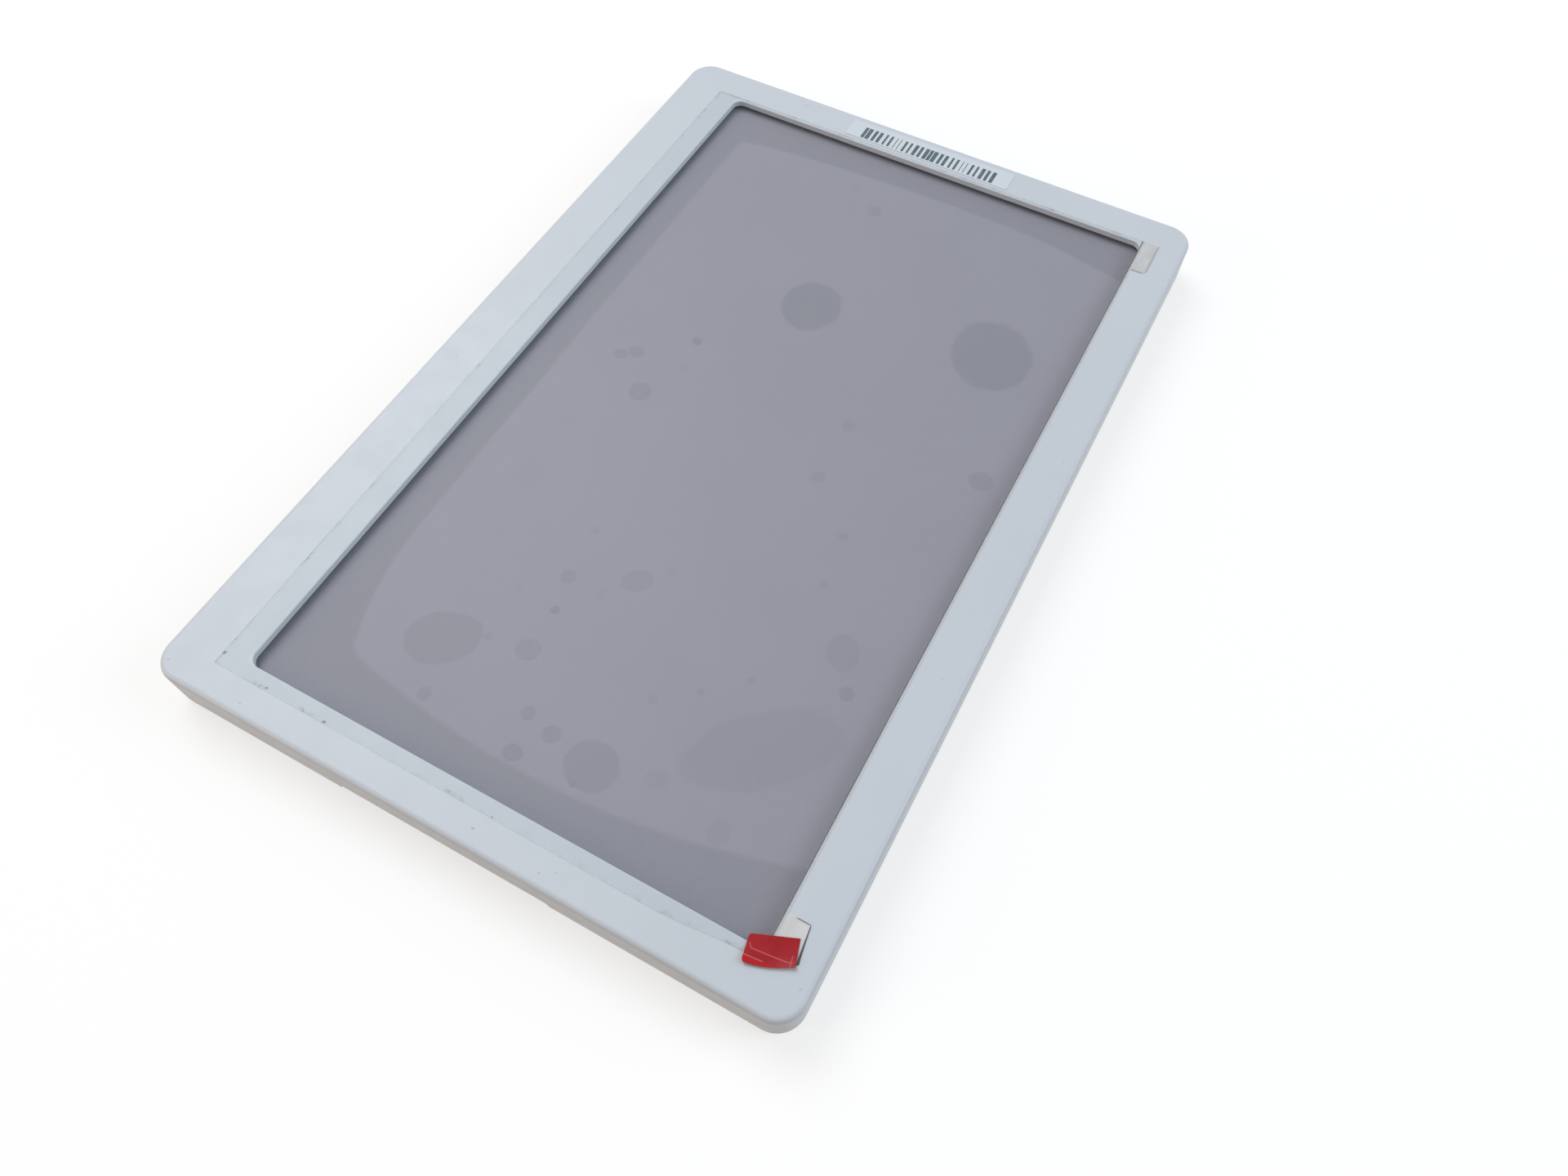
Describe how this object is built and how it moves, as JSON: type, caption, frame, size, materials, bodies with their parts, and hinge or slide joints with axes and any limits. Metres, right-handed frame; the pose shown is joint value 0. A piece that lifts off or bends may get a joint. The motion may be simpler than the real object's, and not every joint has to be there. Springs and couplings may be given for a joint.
{
  "type": "electronic shelf label",
  "caption": "Flat rectangular electronic shelf label with a matt reflective display behind a raised frame, and a back with bracket slots, a hinged battery door and a sunk service button.",
  "frame": {"origin": "centre of the flat back face, on which the label lies", "axes": "+X along the long side towards the end with the film's pull tab, +Y across it away from the wide border, +Z out of the display"},
  "size_m": [0.1828, 0.122, 0.011],
  "materials": {
    "shell_plastic": "fine satin texture",
    "film_plastic": "clear and glossy",
    "tab_plastic": "glossy",
    "sticker_paper": "coated paper",
    "foam": "closed-cell foam",
    "display_surface": "anti-glare",
    "display_substrate": "polished",
    "silicon": "polished",
    "polyimide": "semi-gloss",
    "carrier_plastic": "moulded",
    "board_laminate": "solder mask",
    "chip_resin": "moulded resin",
    "crystal_can": "drawn can",
    "capacitor_ceramic": "fired ceramic",
    "connector_resin": "moulded resin",
    "antenna_metal": "plated strip",
    "switch_can": "stamped",
    "button_plastic": "moulded",
    "cell_steel": "nickel-plated",
    "contact_metal": "plated spring strip",
    "screw_steel": "zinc-plated"
  },
  "bodies": {
    "housing": {"front_bezel": "shell_plastic", "rear_shell": "shell_plastic", "protective_film": "film_plastic", "pull_tab": "tab_plastic", "barcode_sticker": "sticker_paper", "display_gasket": "foam", "display_paper": "display_surface", "display_glass": "display_substrate", "driver_chip": "silicon", "display_flex": "polyimide", "panel_carrier": "carrier_plastic", "main_board": "board_laminate", "radio_chip": "chip_resin", "memory_chip": "chip_resin", "boost_inductor": "chip_resin", "connector_latch": "chip_resin", "crystal": "crystal_can", "capacitors": "capacitor_ceramic", "flex_connector": "connector_resin", "antenna": "antenna_metal", "switch_body": "switch_can", "coin_cell_1": "cell_steel", "coin_cell_2": "cell_steel", "coin_cell_3": "cell_steel", "coin_cell_4": "cell_steel", "contact_negative": "contact_metal", "contact_positive": "contact_metal", "case_screws": "screw_steel"},
    "door": {"battery_door": "shell_plastic", "door_latch": "shell_plastic", "door_pad": "foam"},
    "button": {"button_cap": "button_plastic", "switch_plunger": "chip_resin"}
  },
  "joints": [
    {"name": "door_hinge", "type": "hinge", "parent": "housing", "child": "door", "pos_m": [0, 0.026, 0], "axis": [1, 0, 0], "range_deg": [0, 75], "deforming": ["door_latch"]},
    {"name": "button_press", "type": "slide", "parent": "housing", "child": "button", "axis": [0, 0, 1], "range_m": [0, 0.0004], "stiffness_N_per_m": 1500}
  ]
}
